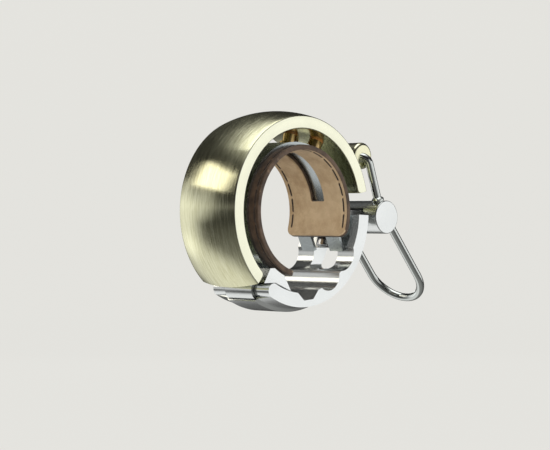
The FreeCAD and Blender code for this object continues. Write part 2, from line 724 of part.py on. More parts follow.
def loop_frame():
    """Own Z axis down the trigger loop, from where its line passes nearest to the axle."""
    lean = dim("loop_lean")
    x = dim("axle_x") + dim("loop_offset") * cos_of(lean)
    z = dim("axle_z") + dim("loop_offset") * sin_of(lean)
    return Placement(Vector(float(x), 0, float(z)), Rotation(Vector(0, 1, 0),
                                                             180 - float(lean)))


def loop_shape(name):
    legs = []
    for count, side in enumerate((-1, 1)):
        leg = bound("Part::Cylinder", "%s_leg_%d" % (name, count), Radius=dim("wire_radius"),
                    Height=dim("loop_reach") - dim("loop_root"))
        leg.Placement = loop_frame() * Placement(
            Vector(0, side * float(dim("loop_half")), float(dim("loop_root"))), Rotation())
        legs.append(leg)
    bend = bound("Part::Torus", name + "_bend", Radius1=dim("loop_half"),
                 Radius2=dim("wire_radius"))
    bend.Angle3 = 180
    bend.Placement = loop_frame() * Placement(
        Vector(0, 0, float(dim("loop_reach"))),
        Rotation(Vector(0, -1, 0), Vector(0, 0, 1), Vector(-1, 0, 0), "ZXY"))
    return fuse(name, *legs, bend)


def hammer_wire(name):
    lean = float(dim("hammer_wire_lean"))
    foot = Placement(Vector(float(dim("axle_x")), float(dim("hammer_wire_y")),
                            float(dim("axle_z"))), Rotation(Vector(0, 1, 0), -lean))
    leg = bound("Part::Cylinder", name + "_leg", Radius=dim("wire_radius"),
                Height=dim("hammer_wire_reach") - dim("hammer_wire_root"))
    leg.Placement = foot * Placement(Vector(0, 0, float(dim("hammer_wire_root"))), Rotation())
    turned = Placement(Vector(0, 0, float(dim("hammer_wire_reach"))),
                       Rotation(Vector(0, 0, 1), 90 + float(dim("elbow_turn"))))
    elbow = bound("Part::Torus", name + "_elbow", Radius1=dim("elbow_radius"),
                  Radius2=dim("wire_radius"))
    elbow.Angle3 = 90
    radius = float(dim("elbow_radius"))
    elbow.Placement = foot * turned * Placement(
        Vector(radius, 0, 0), Rotation(Vector(-1, 0, 0), Vector(0, 0, 1), Vector(0, 1, 0),
                                       "ZXY"))
    tip = bound("Part::Cylinder", name + "_tip", Radius=dim("wire_radius"),
                Height=dim("hammer_tip"))
    tip.Placement = foot * turned * Placement(Vector(radius, 0, radius),
                                              Rotation(Vector(0, 1, 0), 90))
    return fuse(name, leg, elbow, tip)


def make_hammer():
    body = doc.addObject("PartDesign::Body", "hammer_body")
    sketch = body.newObject("Sketcher::SketchObject", "hammer_circle")
    sketch.AttachmentSupport = (origin_plane(body, "XZ_Plane"), [""])
    sketch.MapMode = "FlatFace"
    sketch.addGeometry(Part.Circle(Vector(), Vector(0, 0, 1), float(dim("hammer_radius"))), False)
    sketch.addConstraint(Sketcher.Constraint("Coincident", 0, 3, -1, 1))
    number = sketch.addConstraint(Sketcher.Constraint("Radius", 0, float(dim("hammer_radius"))))
    sketch.setExpression("Constraints[%d]" % number, dim("hammer_radius").text)
    pad = body.newObject("PartDesign::Pad", "hammer_pad")
    pad.Profile = sketch
    pad.setExpression("Length", dim("hammer_length").text)
    pad.Midplane = True
    soften(body, "hammer_rims", dim("hammer_round"), lambda edge: is_round_bar(edge))
    put(body, dim("hammer_x"), dim("hammer_front") + dim("hammer_length") / 2, dim("hammer_z"))
    node("hammer", cut("hammer", body, hammer_wire("hammer_socket")))


# ---------------------------------------------------------------- return spring

def make_spring():
    helix = bound("Part::Helix", "spring_path", Pitch=dim("spring_pitch"),
                  Height=dim("spring_pitch") * dim("spring_turns"), Radius=dim("spring_radius"))
    helix.Placement = Placement(Vector(float(dim("axle_x")), float(dim("eye_half")) + 0.25,
                                       float(dim("axle_z"))), ALONG_Y)
    circle = bound("Part::Circle", "spring_section", Radius=dim("spring_wire"))
    circle.Placement = helix.Placement * Placement(
        Vector(float(dim("spring_radius")), 0, 0), Rotation(Vector(1, 0, 0), 90))
    coil = doc.addObject("Part::Sweep", "spring_sweep")
    doc.recompute()
    coil.Sections = [circle]
    coil.Spine = (helix, ["Edge%d" % (number + 1) for number in range(len(helix.Shape.Edges))])
    coil.Solid = True
    coil.Frenet = True
    node("return_spring", coil)


# ---------------------------------------------------------------- build, check, write

def build():
    make_ring()
    make_posts()
    make_band()
    make_rivets()
    make_liner()
    make_stitches()
    make_bracket()
    make_hinge_pin()
    make_nut()
    make_arm()
    make_screw()
    make_axle()
    make_spring()
    make_barrel()
    make_hammer()
    node("trigger_loop", loop_shape("trigger_loop"))
    node("hammer_wire", hammer_wire("hammer_wire"))
    doc.recompute()


def check():
    bad = ["%s: %s" % (item.Name, item.State) for item in doc.Objects
           if "Invalid" in item.State or "Error" in item.State]
    for name, item in nodes.items():
        if item.Shape.isNull() or not item.Shape.isValid() or not item.Shape.Solids:
            bad.append("%s has no sound shape" % name)
    if bad:
        raise RuntimeError("; ".join(bad))


def write():
    os.makedirs("parts", exist_ok=True)
    for name, item in nodes.items():
        item.Shape.exportStep("parts/%s.step" % name)
        box = item.Shape.BoundBox
        print("%-18s solids %2d volume %9.2f  x %.1f %.1f  y %.1f %.1f  z %.1f %.1f" % (
            name, len(item.Shape.Solids), item.Shape.Volume, box.XMin, box.XMax, box.YMin,
            box.YMax, box.ZMin, box.ZMax))


build()
check()
write()
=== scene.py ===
import math

import bmesh
import bpy
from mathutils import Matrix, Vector


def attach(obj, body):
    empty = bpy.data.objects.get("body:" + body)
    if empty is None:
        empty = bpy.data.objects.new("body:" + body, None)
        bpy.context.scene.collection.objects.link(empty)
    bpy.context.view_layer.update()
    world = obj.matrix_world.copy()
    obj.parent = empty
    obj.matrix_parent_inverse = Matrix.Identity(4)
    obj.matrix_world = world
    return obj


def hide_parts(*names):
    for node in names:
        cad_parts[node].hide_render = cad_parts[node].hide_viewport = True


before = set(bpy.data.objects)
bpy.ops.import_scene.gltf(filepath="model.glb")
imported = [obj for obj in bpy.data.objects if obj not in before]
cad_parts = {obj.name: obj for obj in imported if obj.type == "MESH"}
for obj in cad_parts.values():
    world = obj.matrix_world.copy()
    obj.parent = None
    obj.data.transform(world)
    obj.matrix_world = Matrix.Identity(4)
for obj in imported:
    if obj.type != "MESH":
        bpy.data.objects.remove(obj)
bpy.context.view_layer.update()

MM = 0.001
ALONG_BAR = Vector((0, 1, 0))

# Frame: origin on the handlebar's axis at the bell's mid-width, +Y along the handlebar, +X
# towards the striker, +Z up.  Lengths are in millimetres and angles in degrees round the bar,
# from +X towards +Z.  The numbers of this first group repeat the CAD part's own dimensions.
BAR_R = 15.9
LINER_THICK, LINER_HALF, LINER_CORNER = 1.3, 10.8, 2.4
LINER_START, LINER_STOP = -24.0, 259.0
SLOT_HALF, SLOT_START, SLOT_STOP = 2.5, 9.5, 166.0
SEAM_Y, STITCH_PITCH, STITCH_LENGTH = 9.45, 15.4, 3.6
RING_IN, RING_EDGE, RING_CROWN, RING_HALF = 21.4, 24.7, 26.25, 10.3
RING_START, RING_STOP = 12.5, 228.0
ARM_INNER = 21.2
AXLE = Vector((32.3, 0.0, -1.6))
WIRE_R = 1.1
LOOP_LEAN, LOOP_OFFSET, LOOP_HALF, LOOP_REACH = 39.4, 1.0, 8.6, 21.7
LEG_Y, LEG_LEAN, LEG_REACH = -8.4, 19.0, 15.2
ELBOW_R, ELBOW_TURN, TIP = 2.4, 20.0, 2.2
HAMMER_X, HAMMER_Z, HAMMER_R = 26.5, 15.0, 3.6
HAMMER_FRONT, HAMMER_LENGTH, HAMMER_ROUND = -7.0, 10.0, 0.9

# Ring: the rounding of its rims, of its bore's ends and of its other sharp edges.
RIM_ROUND, BORE_END_ROUND, EDGE_BEVEL = 0.28, 1.0, 0.2
# A ring face whose normal's y passes this is one of the two flat polished ones.
FLAT_FACE_Y = 0.86

# Liner: the rounding of its edges and slot corners, the pressed groove of each seam, and the
# pucker of the leather between two inside stitches.
LINER_MID_R = BAR_R + LINER_THICK / 2
LINER_EDGE_ROUND, SLOT_CORNER = 0.22, 0.5
SURFACE_DEPTH = 0.03
GROOVE_HALF, GROOVE_DEPTH, GROOVE_OVERRUN = 0.45, 0.17, 7.0
PUCKER_HALF, PUCKER_DEPTH, PUCKER_SPAN = 1.0, 0.05, 1.6

# Stitches: where a row's inside and outside stitches may lie, and the thread.
FIRST_STITCH, STITCH_LIMIT = LINER_START + 14.5, LINER_STOP - 13.5
OUTSIDE_LIMIT = LINER_STOP - 9
THREAD_R, THREAD_FLATNESS, THREAD_DIVE = 0.235, 0.8, 0.42
THREAD_INSIDE_R, THREAD_OUTSIDE_R = BAR_R + 0.12, BAR_R + LINER_THICK - 0.1
PLY_SWELL, PLY_TURNS, STITCH_SLANT = 0.08, 14, 0.05

# Wires: sides of their round section, and how far from the axle each one begins.
WIRE_SIDES = 36
LOOP_ROOT, LEG_ROOT = 0.9, 2.4
# Collar at the foot of the hammer's wire: distance from the axle and radius.
COLLAR = ((3.2, 1.5), (4.5, 1.5), (4.75, 1.68), (5.2, 1.68), (5.42, 1.5), (5.75, 1.12))


# ---------------------------------------------------------------- shader building

class Nodes:
    """A material's node tree with short ways to add what these finishes need."""

    def __init__(self, name):
        self.material = bpy.data.materials.new(name)
        self.material.use_nodes = True
        self.tree = self.material.node_tree
        self.shader = self.tree.nodes["Principled BSDF"]

    def add(self, kind, **values):
        item = self.tree.nodes.new(kind)
        for key, value in values.items():
            setattr(item, key, value)
        return item

    def feed(self, value, socket):
        """Links another node's output, or sets a plain number or colour on the socket."""
        if hasattr(value, "is_linked"):
            self.tree.links.new(value, socket)
        elif isinstance(value, tuple):
            socket.default_value = (*value, 1.0)
        else:
            socket.default_value = value

    def set(self, **values):
        for key, value in values.items():
            self.feed(value, self.shader.inputs[key.replace("_", " ")])

    def place(self):
        return self.add("ShaderNodeTexCoord").outputs["Object"]

    def split(self, vector):
        item = self.add("ShaderNodeSeparateXYZ")
        self.feed(vector, item.inputs[0])
        return item.outputs

    def join(self, *values):
        item = self.add("ShaderNodeCombineXYZ")
        for slot, value in enumerate(values):
            self.feed(value, item.inputs[slot])
        return item.outputs[0]

    def math(self, operation, *values, clamp=False):
        item = self.add("ShaderNodeMath", operation=operation, use_clamp=clamp)
        for slot, value in enumerate(values):
            self.feed(value, item.inputs[slot])
        return item.outputs[0]

    def weigh(self, one, other, share):
        """The sum of two values, the first by its share and the second by the rest."""
        return self.math("ADD", self.math("MULTIPLY", one, share),
                         self.math("MULTIPLY", other, 1.0 - share))

    def round_bar(self):
        """Radius round the handlebar, y, and angle, whose seam lies in the ring's gap."""
        turned = self.add("ShaderNodeVectorRotate", rotation_type="Y_AXIS")
        turned.inputs["Angle"].default_value = math.radians(120)
        self.feed(self.place(), turned.inputs["Vector"])
        x, y, z = self.split(turned.outputs[0])
        radius = self.math("SQRT", self.math("ADD", self.math("MULTIPLY", x, x),
                                             self.math("MULTIPLY", z, z)))
        return radius, y, self.math("ARCTAN2", z, x)

    def noise(self, vector, scale, detail=3.0, rough=0.55):
        item = self.add("ShaderNodeTexNoise")
        item.inputs["Scale"].default_value = scale
        item.inputs["Detail"].default_value = detail
        item.inputs["Roughness"].default_value = rough
        self.feed(vector, item.inputs["Vector"])
        return item.outputs["Fac"]

    def spread(self, value, low, high, new_low=0.0, new_high=1.0):
        item = self.add("ShaderNodeMapRange")
        for slot, number in enumerate((low, high, new_low, new_high), start=1):
            item.inputs[slot].default_value = number
        self.feed(value, item.inputs[0])
        return item.outputs[0]

    def ramp(self, value, *stops):
        item = self.add("ShaderNodeValToRGB")
        ramp = item.color_ramp
        while len(ramp.elements) < len(stops):
            ramp.elements.new(0.5)
        for element, (place, colour) in zip(ramp.elements, stops):
            element.position = place
            element.color = (*colour, 1.0)
        self.feed(value, item.inputs[0])
        return item.outputs["Color"]

    def mix(self, factor, one, other):
        item = self.add("ShaderNodeMix", data_type="RGBA", blend_type="MIX")
        for slot, value in ((0, factor), (6, one), (7, other)):
            self.feed(value, item.inputs[slot])
        return item.outputs[2]

    def bump(self, height, distance, strength, normal=None):
        item = self.add("ShaderNodeBump")
        item.inputs["Strength"].default_value = strength
        item.inputs["Distance"].default_value = distance
        self.feed(height, item.inputs["Height"])
        if normal is not None:
            self.feed(normal, item.inputs["Normal"])
        return item.outputs["Normal"]

    def edge_wear(self, low, high):
        """A factor that is high on sharp convex edges."""
        geometry = self.add("ShaderNodeNewGeometry")
        return self.spread(geometry.outputs["Pointiness"], low, high)


def brushed_metal(name, light, dark, rough, grain, anisotropic, depth):
    """Metal brushed round the bar: fine scratches that run with the angle."""
    stretch, per_metre, broad_ratio = 2.2, 1000.0, 7.0
    nodes = Nodes(name)
    radius, y, angle = nodes.round_bar()
    across = nodes.join(nodes.math("MULTIPLY", angle, stretch),
                        nodes.math("MULTIPLY", y, per_metre),
                        nodes.math("MULTIPLY", radius, per_metre))
    fine = nodes.noise(across, grain, 2.0, 0.7)
    broad = nodes.noise(across, grain / broad_ratio, 3.0, 0.6)
    cloud = nodes.noise(nodes.place(), 60.0)
    tone = nodes.weigh(fine, broad, 0.68)
    nodes.set(Base_Color=nodes.ramp(tone, (0.36, dark), (0.62, light)), Metallic=1.0,
              Anisotropic=anisotropic,
              Roughness=nodes.spread(nodes.weigh(fine, cloud, 0.65), 0.3, 0.7, *rough))
    x, _, z = nodes.split(nodes.place())
    outward = nodes.join(nodes.math("DIVIDE", x, radius), 1.0, nodes.math("DIVIDE", z, radius))
    nodes.set(Tangent=outward, Normal=nodes.bump(tone, depth, 0.6))
    return nodes.material


def polished_metal(name, colour, rough, depth=0.0000012, cast_radius=None):
    """Cast and polished metal: faint waviness, smudges and hairline scratches.

    Where cast_radius is given, the wall inside that radius was left as cast, dull and grey.
    """
    cast_metallic, cast_fade, smudged = 0.8, 0.1, 0.93
    nodes = Nodes(name)
    place = nodes.place()
    smudge = nodes.noise(place, 95.0, 4.0, 0.6)
    wave = nodes.noise(place, 420.0, 2.0, 0.5)
    stretched = nodes.add("ShaderNodeMapping")
    stretched.inputs["Scale"].default_value = (1.0, 9.0, 1.0)
    nodes.feed(place, stretched.inputs["Vector"])
    hair = nodes.noise(stretched.outputs[0], 1400.0, 2.0, 0.8)
    metallic = 1.0
    if cast_radius:
        radius = nodes.round_bar()[0]
        metallic = nodes.spread(radius, (cast_radius - cast_fade) * MM, cast_radius * MM,
                                cast_metallic, 1.0)
    darker = tuple(value * smudged for value in colour)
    nodes.set(Base_Color=nodes.ramp(smudge, (0.35, darker), (0.6, colour)), Metallic=metallic,
              Roughness=nodes.spread(nodes.weigh(smudge, hair, 0.7), 0.35, 0.65, *rough),
              Normal=nodes.bump(nodes.weigh(wave, hair, 0.7), depth, 0.5))
    return nodes.material


def leather(name):
    """Undyed suede-like flesh side inside the bore, dark brown grain side and edges outside."""
    tan_low, tan_high = (0.43, 0.30, 0.17), (0.60, 0.45, 0.275)
    fibre_tan, cloud_tan = (0.30, 0.19, 0.10), (0.55, 0.43, 0.28)
    brown_low, brown_high = (0.042, 0.024, 0.014), (0.125, 0.076, 0.045)
    worn_brown = (0.30, 0.19, 0.11)
    nodes = Nodes(name)
    radius, y, _ = nodes.round_bar()
    place = nodes.place()
    fibre = nodes.noise(place, 2600.0, 4.0, 0.7)
    mottle = nodes.noise(place, 330.0, 4.0, 0.6)
    cloud = nodes.noise(place, 90.0, 3.0, 0.5)
    inner = nodes.mix(nodes.spread(mottle, 0.35, 0.65), tan_low, tan_high)
    inner = nodes.mix(nodes.spread(fibre, 0.3, 0.75, 0.0, 0.45), inner, fibre_tan)
    inner = nodes.mix(nodes.spread(cloud, 0.4, 0.65, 0.0, 0.35), inner, cloud_tan)
    outer = nodes.mix(nodes.spread(mottle, 0.35, 0.7), brown_low, brown_high)

    # The brown begins a little way into the thickness, and covers the two long edges.
    deep = nodes.spread(radius, (BAR_R + 0.32) * MM, (BAR_R + 0.52) * MM)
    edge = nodes.spread(nodes.math("ABSOLUTE", y), (LINER_HALF - 0.2) * MM,
                        (LINER_HALF - 0.08) * MM)
    side = nodes.math("MAXIMUM", deep, edge)
    worn = nodes.math("MULTIPLY", nodes.edge_wear(0.5, 0.6), 0.35, clamp=True)
    nodes.set(Base_Color=nodes.mix(worn, nodes.mix(side, inner, outer), worn_brown),
              Roughness=nodes.spread(side, 0.0, 1.0, 0.9, 0.52),
              Sheen_Weight=0.15, Sheen_Roughness=0.5)

    cells = nodes.add("ShaderNodeTexVoronoi", feature="DISTANCE_TO_EDGE")
    cells.inputs["Scale"].default_value = 1900.0
    nodes.feed(place, cells.inputs["Vector"])
    nap = nodes.bump(nodes.weigh(fibre, mottle, 0.7), 0.00008, 0.55)
    nodes.set(Normal=nodes.bump(cells.outputs["Distance"], 0.00004, 0.35, nap))
    return nodes.material


def thread(name, colour):
    """Waxed two-ply thread."""
    nodes = Nodes(name)
    ply = nodes.add("ShaderNodeTexWave", wave_type="BANDS", bands_direction="DIAGONAL")
    ply.inputs["Scale"].default_value = 900.0
    ply.inputs["Distortion"].default_value = 1.5
    nodes.feed(nodes.place(), ply.inputs["Vector"])
    shade = ply.outputs["Fac"]
    light = tuple(value * 1.9 for value in colour)
    nodes.set(Base_Color=nodes.mix(nodes.spread(shade, 0.2, 0.9, 0.0, 0.6), colour, light),
              Roughness=0.62, Sheen_Weight=0.2, Normal=nodes.bump(shade, 0.00004, 0.6))
    return nodes.material


def rubber(name, colour, rough):
    """Moulded rubber with a fine speck in its colour and gloss."""
    nodes = Nodes(name)
    speck = nodes.noise(nodes.place(), 2200.0)
    light = tuple(value * 1.5 for value in colour)
    nodes.set(Base_Color=nodes.mix(nodes.spread(speck, 0.3, 0.7), colour, light),
              Roughness=nodes.spread(speck, 0.3, 0.7, rough - 0.1, rough + 0.1),
              Normal=nodes.bump(speck, 0.00002, 0.4))
    return nodes.material


brass = brushed_metal("bell_brass", (0.90, 0.89, 0.62), (0.66, 0.645, 0.41), rough=(0.15, 0.26),
                      grain=2.4, anisotropic=0.75, depth=0.000006)
band_steel = brushed_metal("band_steel", (0.545, 0.59, 0.59), (0.41, 0.45, 0.455),
                           rough=(0.2, 0.3), grain=5.0, anisotropic=0.5, depth=0.000003)
ring_face = polished_metal("bell_face", (0.98, 0.98, 0.77), (0.18, 0.24), depth=0.0000004)
hammer_brass = polished_metal("hammer_brass", (0.90, 0.88, 0.62), (0.14, 0.22))
post_brass = polished_metal("post_brass", (0.62, 0.44, 0.20), (0.2, 0.32))
alloy = polished_metal("polished_alloy", (0.885, 0.91, 0.90), (0.17, 0.27),
                       cast_radius=ARM_INNER + 0.15)
barrel_alloy = polished_metal("barrel_alloy", (0.86, 0.885, 0.875), (0.17, 0.26))
wire_steel = polished_metal("wire_steel", (0.66, 0.69, 0.665), (0.07, 0.13))
screw_steel = polished_metal("screw_steel", (0.72, 0.72, 0.73), (0.15, 0.28))
spring_steel = polished_metal("spring_steel", (0.55, 0.56, 0.58), (0.2, 0.3))
liner_leather = leather("liner_leather")
# The thread's near-black colour is partly its own dark brown and partly painted shade: the shadow
# of the grooves the stitches lie in is painted into it.
stitch_thread = thread("stitch_thread", (0.022, 0.013, 0.008))
amber = rubber("amber_pad", (0.30, 0.13, 0.03), 0.35)
black_rubber = rubber("stop_rubber", (0.018, 0.018, 0.018), 0.6)

FINISH = {
    "resonator_posts": post_brass, "damping_pads": amber, "resonator_screws": screw_steel,
    "clamp_band": band_steel, "band_ramp": band_steel, "bracket_rivets": screw_steel,
    "hinge_bracket": alloy, "hinge_pin": screw_steel, "lower_arm": alloy,
    "clamp_screw": screw_steel, "screw_washer": screw_steel, "clamp_nut": screw_steel,
    "striker_axle": screw_steel, "striker_stop": black_rubber, "return_spring": spring_steel,
    "striker_barrel": barrel_alloy, "barrel_plug": barrel_alloy,
}
for node_name, finish in FINISH.items():
    node_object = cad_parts[node_name]
    node_object.data.materials.clear()
    node_object.data.materials.append(finish)


# ---------------------------------------------------------------- mesh building

def polar(radius, angle, y=0.0):
    turn = math.radians(angle)
    return Vector((radius * math.cos(turn), y, radius * math.sin(turn)))


def circle(count):
    """The angles of count even steps once round, in radians."""
    return [2 * math.pi * turn / count for turn in range(count)]


def new_piece(name, mesh, body, finish, slot, *replaced):
    mesh.materials.clear()
    mesh.materials.append(finish)
    piece = bpy.data.objects.new(name, mesh)
    bpy.context.scene.collection.objects.link(piece)
    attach(piece, body)
    if replaced:
        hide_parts(*replaced)
    return piece


def smooth(mesh, angle=35.0):
    """Smooth shading, but for edges sharper than the angle."""
    for polygon in mesh.polygons:
        polygon.use_smooth = True
    mesh.set_sharp_from_angle(angle=math.radians(angle))
    return mesh


def turn_faces_out(mesh, weld=None):
    """Turns every face outwards, once points nearer than weld, in metres, are made one."""
    solid = bmesh.new()
    solid.from_mesh(mesh)
    if weld:
        bmesh.ops.remove_doubles(solid, verts=solid.verts, dist=weld)
    bmesh.ops.recalc_face_normals(solid, faces=solid.faces)
    solid.to_mesh(mesh)
    solid.free()


def skin(name, sections, closed=False):
    """A mesh through sections of equal length; its ends are capped unless it closes on itself."""
    count = len(sections[0])
    points = [tuple(point * MM) for section in sections for point in section]
    faces = []
    spans = len(sections) if closed else len(sections) - 1
    for row in range(spans):
        here, there = row * count, ((row + 1) % len(sections)) * count
        for step in range(count):
            after = (step + 1) % count
            faces.append((here + step, here + after, there + after, there + step))
    if not closed:
        last = (len(sections) - 1) * count
        faces.append(tuple(range(count)))
        faces.append(tuple(range(last, last + count)))
    mesh = bpy.data.meshes.new(name)
    mesh.from_pydata(points, [], faces)
    turn_faces_out(mesh)
    return mesh


def rounded(points, radius, steps):
    """A closed polyline in 2-D with each sharp corner turned into an arc."""
    blunt = math.radians(150)
    made = []
    for index, corner in enumerate(points):
        one = points[index - 1] - corner
        two = points[(index + 1) % len(points)] - corner
        opening = one.angle(two)
        if opening > blunt:
            made.append(corner)
            continue
        one.normalize()
        two.normalize()
        reach = radius / math.tan(opening / 2)
        centre = corner + (one + two).normalized() * (radius / math.sin(opening / 2))
        start, stop = corner + one * reach, corner + two * reach
        for step in range(steps + 1):
            spoke = (start - centre).slerp(stop - centre, step / steps)
            made.append(centre + spoke.normalized() * radius)
    return made


# ---------------------------------------------------------------- resonator ring

def ring_profile(inner):
    """The ring's section as (radius, y), with a crowned outside and softened rims."""
    rise = RING_CROWN - RING_EDGE
    crown = (RING_HALF ** 2 + rise ** 2) / (2 * rise)
    centre = RING_CROWN - crown
    steps = 28
    points = [Vector((inner, -RING_HALF))]
    for step in range(steps + 1):
        y = -RING_HALF + 2 * RING_HALF * step / steps
        points.append(Vector((centre + math.sqrt(crown * crown - y * y), y)))
    points.append(Vector((inner, RING_HALF)))
    return rounded(points, RIM_ROUND, 4)


def ring_places(length):
    """Distances along the ring's bore for its sections, close together at both ends."""
    end_steps, middle_steps = 7, 220
    eased = [BORE_END_ROUND * (1 - math.cos(math.pi / 2 * step / end_steps))
             for step in range(end_steps)]
    middle = [BORE_END_ROUND + (length - 2 * BORE_END_ROUND) * step / middle_steps
              for step in range(middle_steps + 1)]
    return eased + middle + [length - place for place in reversed(eased)]


def make_ring():
    length = math.radians(RING_STOP - RING_START) * RING_IN
    sections = []
    for place in ring_places(length):
        short = BORE_END_ROUND - min(place, length - place)
        lift = 0.0
        if short > 0.0:
            lift = BORE_END_ROUND - math.sqrt(max(0.0, BORE_END_ROUND ** 2 - short ** 2))
        angle = RING_START + math.degrees(place / RING_IN)
        sections.append([polar(p.x, angle, p.y) for p in ring_profile(RING_IN + lift)])
    mesh = smooth(skin("bell_ring", sections))
    piece = new_piece("bell_ring", mesh, "clamp", brass, "bell_brass", "resonator_ring")
    mesh.materials.append(ring_face)
    for polygon in mesh.polygons:
        if abs(polygon.normal.y) > FLAT_FACE_Y:
            polygon.material_index = 1
    bevel = piece.modifiers.new("edge", "BEVEL")
    bevel.width = EDGE_BEVEL * MM
    bevel.segments = 2
    bevel.limit_method = "ANGLE"
    bevel.angle_limit = math.radians(50)


# ---------------------------------------------------------------- leather liner

def arc_length(angle):
    return math.radians(angle) * LINER_MID_R


def outline_spline(curve, start, stop, half, corner, steps):
    """A rectangle between two angles and two edges, with round corners."""
    low, high = arc_length(start), arc_length(stop)
    corners = [Vector((low, -half)), Vector((high, -half)),
               Vector((high, half)), Vector((low, half))]
    points = rounded(corners, corner, steps)
    spline = curve.splines.new("POLY")
    spline.points.add(len(points) - 1)
    for place, point in zip(spline.points, points):
        place.co = (point.x * MM, point.y * MM, 0.0, 1.0)
    spline.use_cyclic_u = True


def flat_liner():
    """The liner cut flat: x is the length round the bar, y is across, with its slot."""
    curve = bpy.data.curves.new("liner_flat", "CURVE")
    curve.dimensions = "2D"
    curve.fill_mode = "BOTH"
    curve.extrude = (LINER_THICK / 2 - LINER_EDGE_ROUND) * MM
    curve.bevel_depth = LINER_EDGE_ROUND * MM
    curve.bevel_resolution = 3
    curve.offset = -LINER_EDGE_ROUND * MM
    outline_spline(curve, LINER_START, LINER_STOP, LINER_HALF, LINER_CORNER, 10)
    outline_spline(curve, SLOT_START, SLOT_STOP, SLOT_HALF, SLOT_CORNER, 5)
    holder = bpy.data.objects.new("liner_flat", curve)
    bpy.context.scene.collection.objects.link(holder)
    bpy.context.view_layer.update()
    evaluated = holder.evaluated_get(bpy.context.evaluated_depsgraph_get())
    mesh = bpy.data.meshes.new_from_object(evaluated)
    bpy.data.objects.remove(holder)
    return mesh


def stitch_angles():
    """Where each row's inside stitches have their middles."""
    count = int((STITCH_LIMIT - FIRST_STITCH) / STITCH_PITCH) + 1
    return [FIRST_STITCH + number * STITCH_PITCH for number in range(count)]


def cut_lines():
    """Planes that divide the flat liner: one a degree, and rows beside and between the seams."""
    step = arc_length(1.0)
    low = arc_length(LINER_START)
    count = int((arc_length(LINER_STOP) - low) / step)
    lines = [(Vector(((low + step * number) * MM, 0, 0)), Vector((1, 0, 0)))
             for number in range(1, count + 1)]
    beside_seam = (-0.5, -0.3, -0.12, 0.12, 0.3, 0.5)
    between_seams = (3.4, 5.0, 6.6, 8.2)
    rows = [side * SEAM_Y + offset for side in (-1, 1) for offset in beside_seam]
    rows += [side * y for side in (-1, 1) for y in between_seams]
    return lines + [(Vector((0, y * MM, 0)), ALONG_BAR) for y in rows]


def bent_place(along, y, z, angles):
    """Where a point of the flat liner lies round the bar, with its seams pressed in."""
    radius = LINER_MID_R + z
    angle = math.degrees(along / LINER_MID_R)
    away = abs(abs(y) - SEAM_Y)
    on_surface = abs(z) > LINER_THICK / 2 - SURFACE_DEPTH
    in_row = angles[0] - GROOVE_OVERRUN < angle < angles[-1] + GROOVE_OVERRUN
    if on_surface and in_row and away < GROOVE_HALF:
        depth = GROOVE_DEPTH * (1 - (away / GROOVE_HALF) ** 2)
        radius += depth if z < 0 else -depth
    if on_surface and in_row and z < 0 and away < PUCKER_HALF:
        nearest = min(abs(angle - (place + STITCH_PITCH / 2)) for place in angles)
        radius += PUCKER_DEPTH * math.exp(-(nearest / PUCKER_SPAN) ** 2)
    return polar(radius, angle, y)


def make_liner():
    solid = bmesh.new()
    solid.from_mesh(flat_liner())
    bmesh.ops.remove_doubles(solid, verts=solid.verts, dist=0.001 * MM)
    for point, normal in cut_lines():
        everything = solid.verts[:] + solid.edges[:] + solid.faces[:]
        bmesh.ops.bisect_plane(solid, geom=everything, plane_co=point, plane_no=normal,
                               dist=0.002 * MM)
    angles = stitch_angles()
    for vertex in solid.verts:
        along, y, z = (value / MM for value in vertex.co)
        vertex.co = bent_place(along, y, z, angles) * MM
    bmesh.ops.recalc_face_normals(solid, faces=solid.faces)
    mesh = bpy.data.meshes.new("liner")
    solid.to_mesh(mesh)
    solid.free()
    new_piece("liner", smooth(mesh, 50.0), "clamp", liner_leather, "liner_leather",
              "leather_liner")


def past(share, start, span):
    """How far a share, of either sign, is past its start: 0 there and 1 a span on."""
    return max(0.0, (abs(share) - start) / span)


def stitch_sections(angle, y, inside):
    """One stitch as tube sections that dive into the leather at both ends."""
    steps, buried = 16, 1.12
    half = math.degrees(STITCH_LENGTH / 2 / BAR_R) * buried
    surface = THREAD_INSIDE_R if inside else THREAD_OUTSIDE_R
    dive = THREAD_DIVE if inside else -THREAD_DIVE
    sections = []
    for step in range(steps + 1):
        share = step / steps * 2 - 1
        radius = surface + dive * past(share, 0.72, 0.28) ** 2
        centre = polar(radius, angle + half * share, y + STITCH_SLANT * share)
        out = polar(1.0, angle + half * share)
        thick = THREAD_R * (1 - 0.25 * past(share, 0.7, 0.3))
        section = []
        for spin in circle(10):
            twist = 1 + PLY_SWELL * math.cos(2 * (spin + share * PLY_TURNS))
            section.append(centre + out * (math.cos(spin) * thick * THREAD_FLATNESS * twist)
                           + ALONG_BAR * (math.sin(spin) * thick * twist))
        sections.append(section)
    return sections


def make_stitching():
    """Two rows, whose outside stitches lie halfway between the inside ones."""
    for name, side, node in (("stitches_front", -1, "front_stitching"),
                             ("stitches_rear", 1, "rear_stitching")):
        solid = bmesh.new()
        for angle in stitch_angles():
            for inside in (True, False):
                place = angle if inside else angle + STITCH_PITCH / 2
                if place <= OUTSIDE_LIMIT:
                    stitch = stitch_sections(place, side * SEAM_Y, inside)
                    solid.from_mesh(skin("stitch", stitch))
        mesh = bpy.data.meshes.new(name)
        solid.to_mesh(mesh)
        solid.free()
        new_piece(name, smooth(mesh, 60.0), "clamp", stitch_thread, "stitch_thread", node)


# ---------------------------------------------------------------- wires and hammer

def tube(name, path):
    """A round wire along a path."""
    sections = []
    normal = None
    for index, centre in enumerate(path):
        before, after = path[max(0, index - 1)], path[min(len(path) - 1, index + 1)]
        along = (after - before).normalized()
        if normal is None:
            normal = along.orthogonal().normalized()
        else:
            normal = (normal - along * normal.dot(along)).normalized()
        side = along.cross(normal)
        sections.append([centre + (normal * math.cos(turn) + side * math.sin(turn)) * WIRE_R
                         for turn in circle(WIRE_SIDES)])
    return smooth(skin(name, sections))


